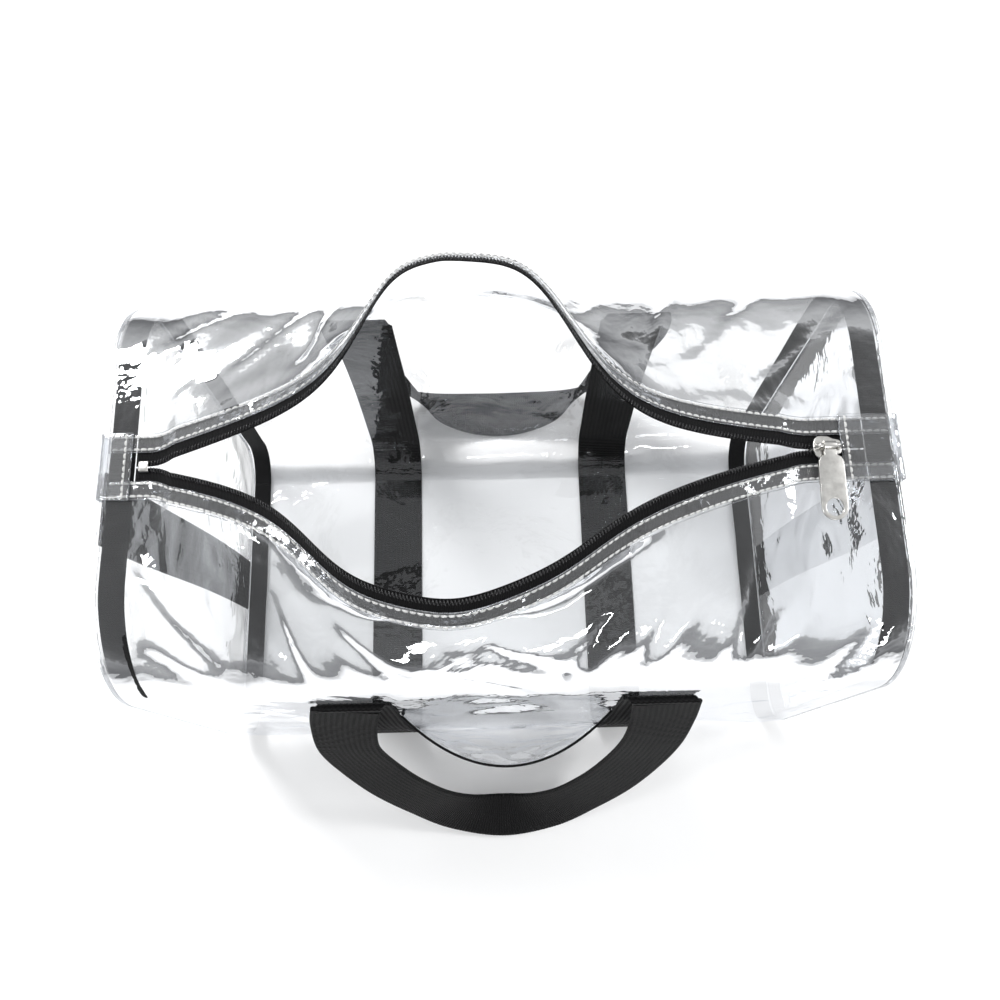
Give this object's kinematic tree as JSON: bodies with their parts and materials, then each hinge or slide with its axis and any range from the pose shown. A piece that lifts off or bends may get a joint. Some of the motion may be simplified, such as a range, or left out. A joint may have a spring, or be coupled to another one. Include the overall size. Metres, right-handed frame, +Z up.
{
  "type": "clear makeup duffle bag",
  "caption": "Clear film duffle-style makeup bag with its zipped mouth open, black webbing handles and an outer pocket.",
  "frame": {"origin": "on the floor, in the middle of the bag and its two handles as they lie", "axes": "+X along the zipper toward the open slider's end, +Y toward the back of the bag, -Y toward the pocket, +Z up"},
  "size_m": [0.4068, 0.347, 0.2914],
  "materials": {
    "clear_film": "clear soft vinyl film, glossy, faintly grey",
    "clear_seam": "doubled clear soft vinyl film, glossy",
    "webbing": "black ribbed polypropylene webbing, matte",
    "binding_tape": "black woven binding tape, matte",
    "zipper_tape": "black knitted zipper tape, matte",
    "coil": "black nylon coil, semi gloss",
    "nickel": "cast zinc with a soft nickel plating",
    "white_thread": "thick white sewing thread",
    "black_thread": "black sewing thread"
  },
  "bodies": {
    "bag": {"base_panel": "clear_film", "front_wall": "clear_film", "back_wall": "clear_film", "front_shoulder": "clear_film", "back_shoulder": "clear_film", "left_end_panel": "clear_film", "right_end_panel": "clear_film", "left_seam_welt": "clear_seam", "right_seam_welt": "clear_seam", "left_seam_binding": "binding_tape", "right_seam_binding": "binding_tape", "left_end_webbing": "webbing", "right_end_webbing": "webbing", "left_base_webbing": "webbing", "right_base_webbing": "webbing", "front_left_webbing": "webbing", "front_right_webbing": "webbing", "back_left_webbing": "webbing", "back_right_webbing": "webbing", "webbing_stitching": "black_thread", "left_end_tab": "clear_seam", "right_end_tab": "clear_seam", "tab_stitching": "white_thread", "zipper_stop": "nickel", "front_pocket": "clear_film", "pocket_binding": "binding_tape"},
    "front_lip": {"front_flap": "clear_film", "front_zipper_tape": "zipper_tape", "front_zipper_coil": "coil", "front_hem": "clear_seam", "front_hem_stitching": "white_thread"},
    "back_lip": {"back_flap": "clear_film", "back_zipper_tape": "zipper_tape", "back_zipper_coil": "coil", "back_hem": "clear_seam", "back_hem_stitching": "white_thread"},
    "slider": {"zipper_slider": "nickel"},
    "pull": {"zipper_pull": "nickel"},
    "handle_front": {"front_handle": "webbing"},
    "handle_back": {"back_handle": "webbing"}
  },
  "joints": [
    {"name": "slider_slide", "type": "slide", "parent": "bag", "child": "slider", "axis": [-1, 0, 0], "range_m": [0, 0.33]},
    {"name": "pull_flip", "type": "hinge", "parent": "slider", "child": "pull", "pos_m": [0.165, 0.0353, 0.2642], "axis": [-1, 0, 0], "range_deg": [0, 185]},
    {"name": "front_lip_close", "type": "hinge", "parent": "bag", "child": "front_lip", "pos_m": [0, -0.0397, 0.178], "axis": [-1, 0, 0], "range_deg": [0, 43.9], "deforming": ["front_flap", "front_zipper_tape", "front_zipper_coil", "front_hem", "front_hem_stitching"]},
    {"name": "back_lip_close", "type": "hinge", "parent": "bag", "child": "back_lip", "pos_m": [0, 0.1153, 0.178], "axis": [1, 0, 0], "range_deg": [0, 52.8], "deforming": ["back_flap", "back_zipper_tape", "back_zipper_coil", "back_hem", "back_hem_stitching"]},
    {"name": "front_handle_lift", "type": "hinge", "parent": "bag", "child": "handle_front", "pos_m": [0, -0.08635, 0.192], "axis": [-1, 0, 0], "range_deg": [0, 165]},
    {"name": "back_handle_lift", "type": "hinge", "parent": "bag", "child": "handle_back", "pos_m": [0, 0.14465, 0.192], "axis": [1, 0, 0], "range_deg": [0, 158]}
  ],
  "couplings": [
    {"joint": "front_lip_close", "follows": "slider_slide", "rad_per_m": 2.3165},
    {"joint": "back_lip_close", "follows": "slider_slide", "rad_per_m": 2.7872}
  ]
}
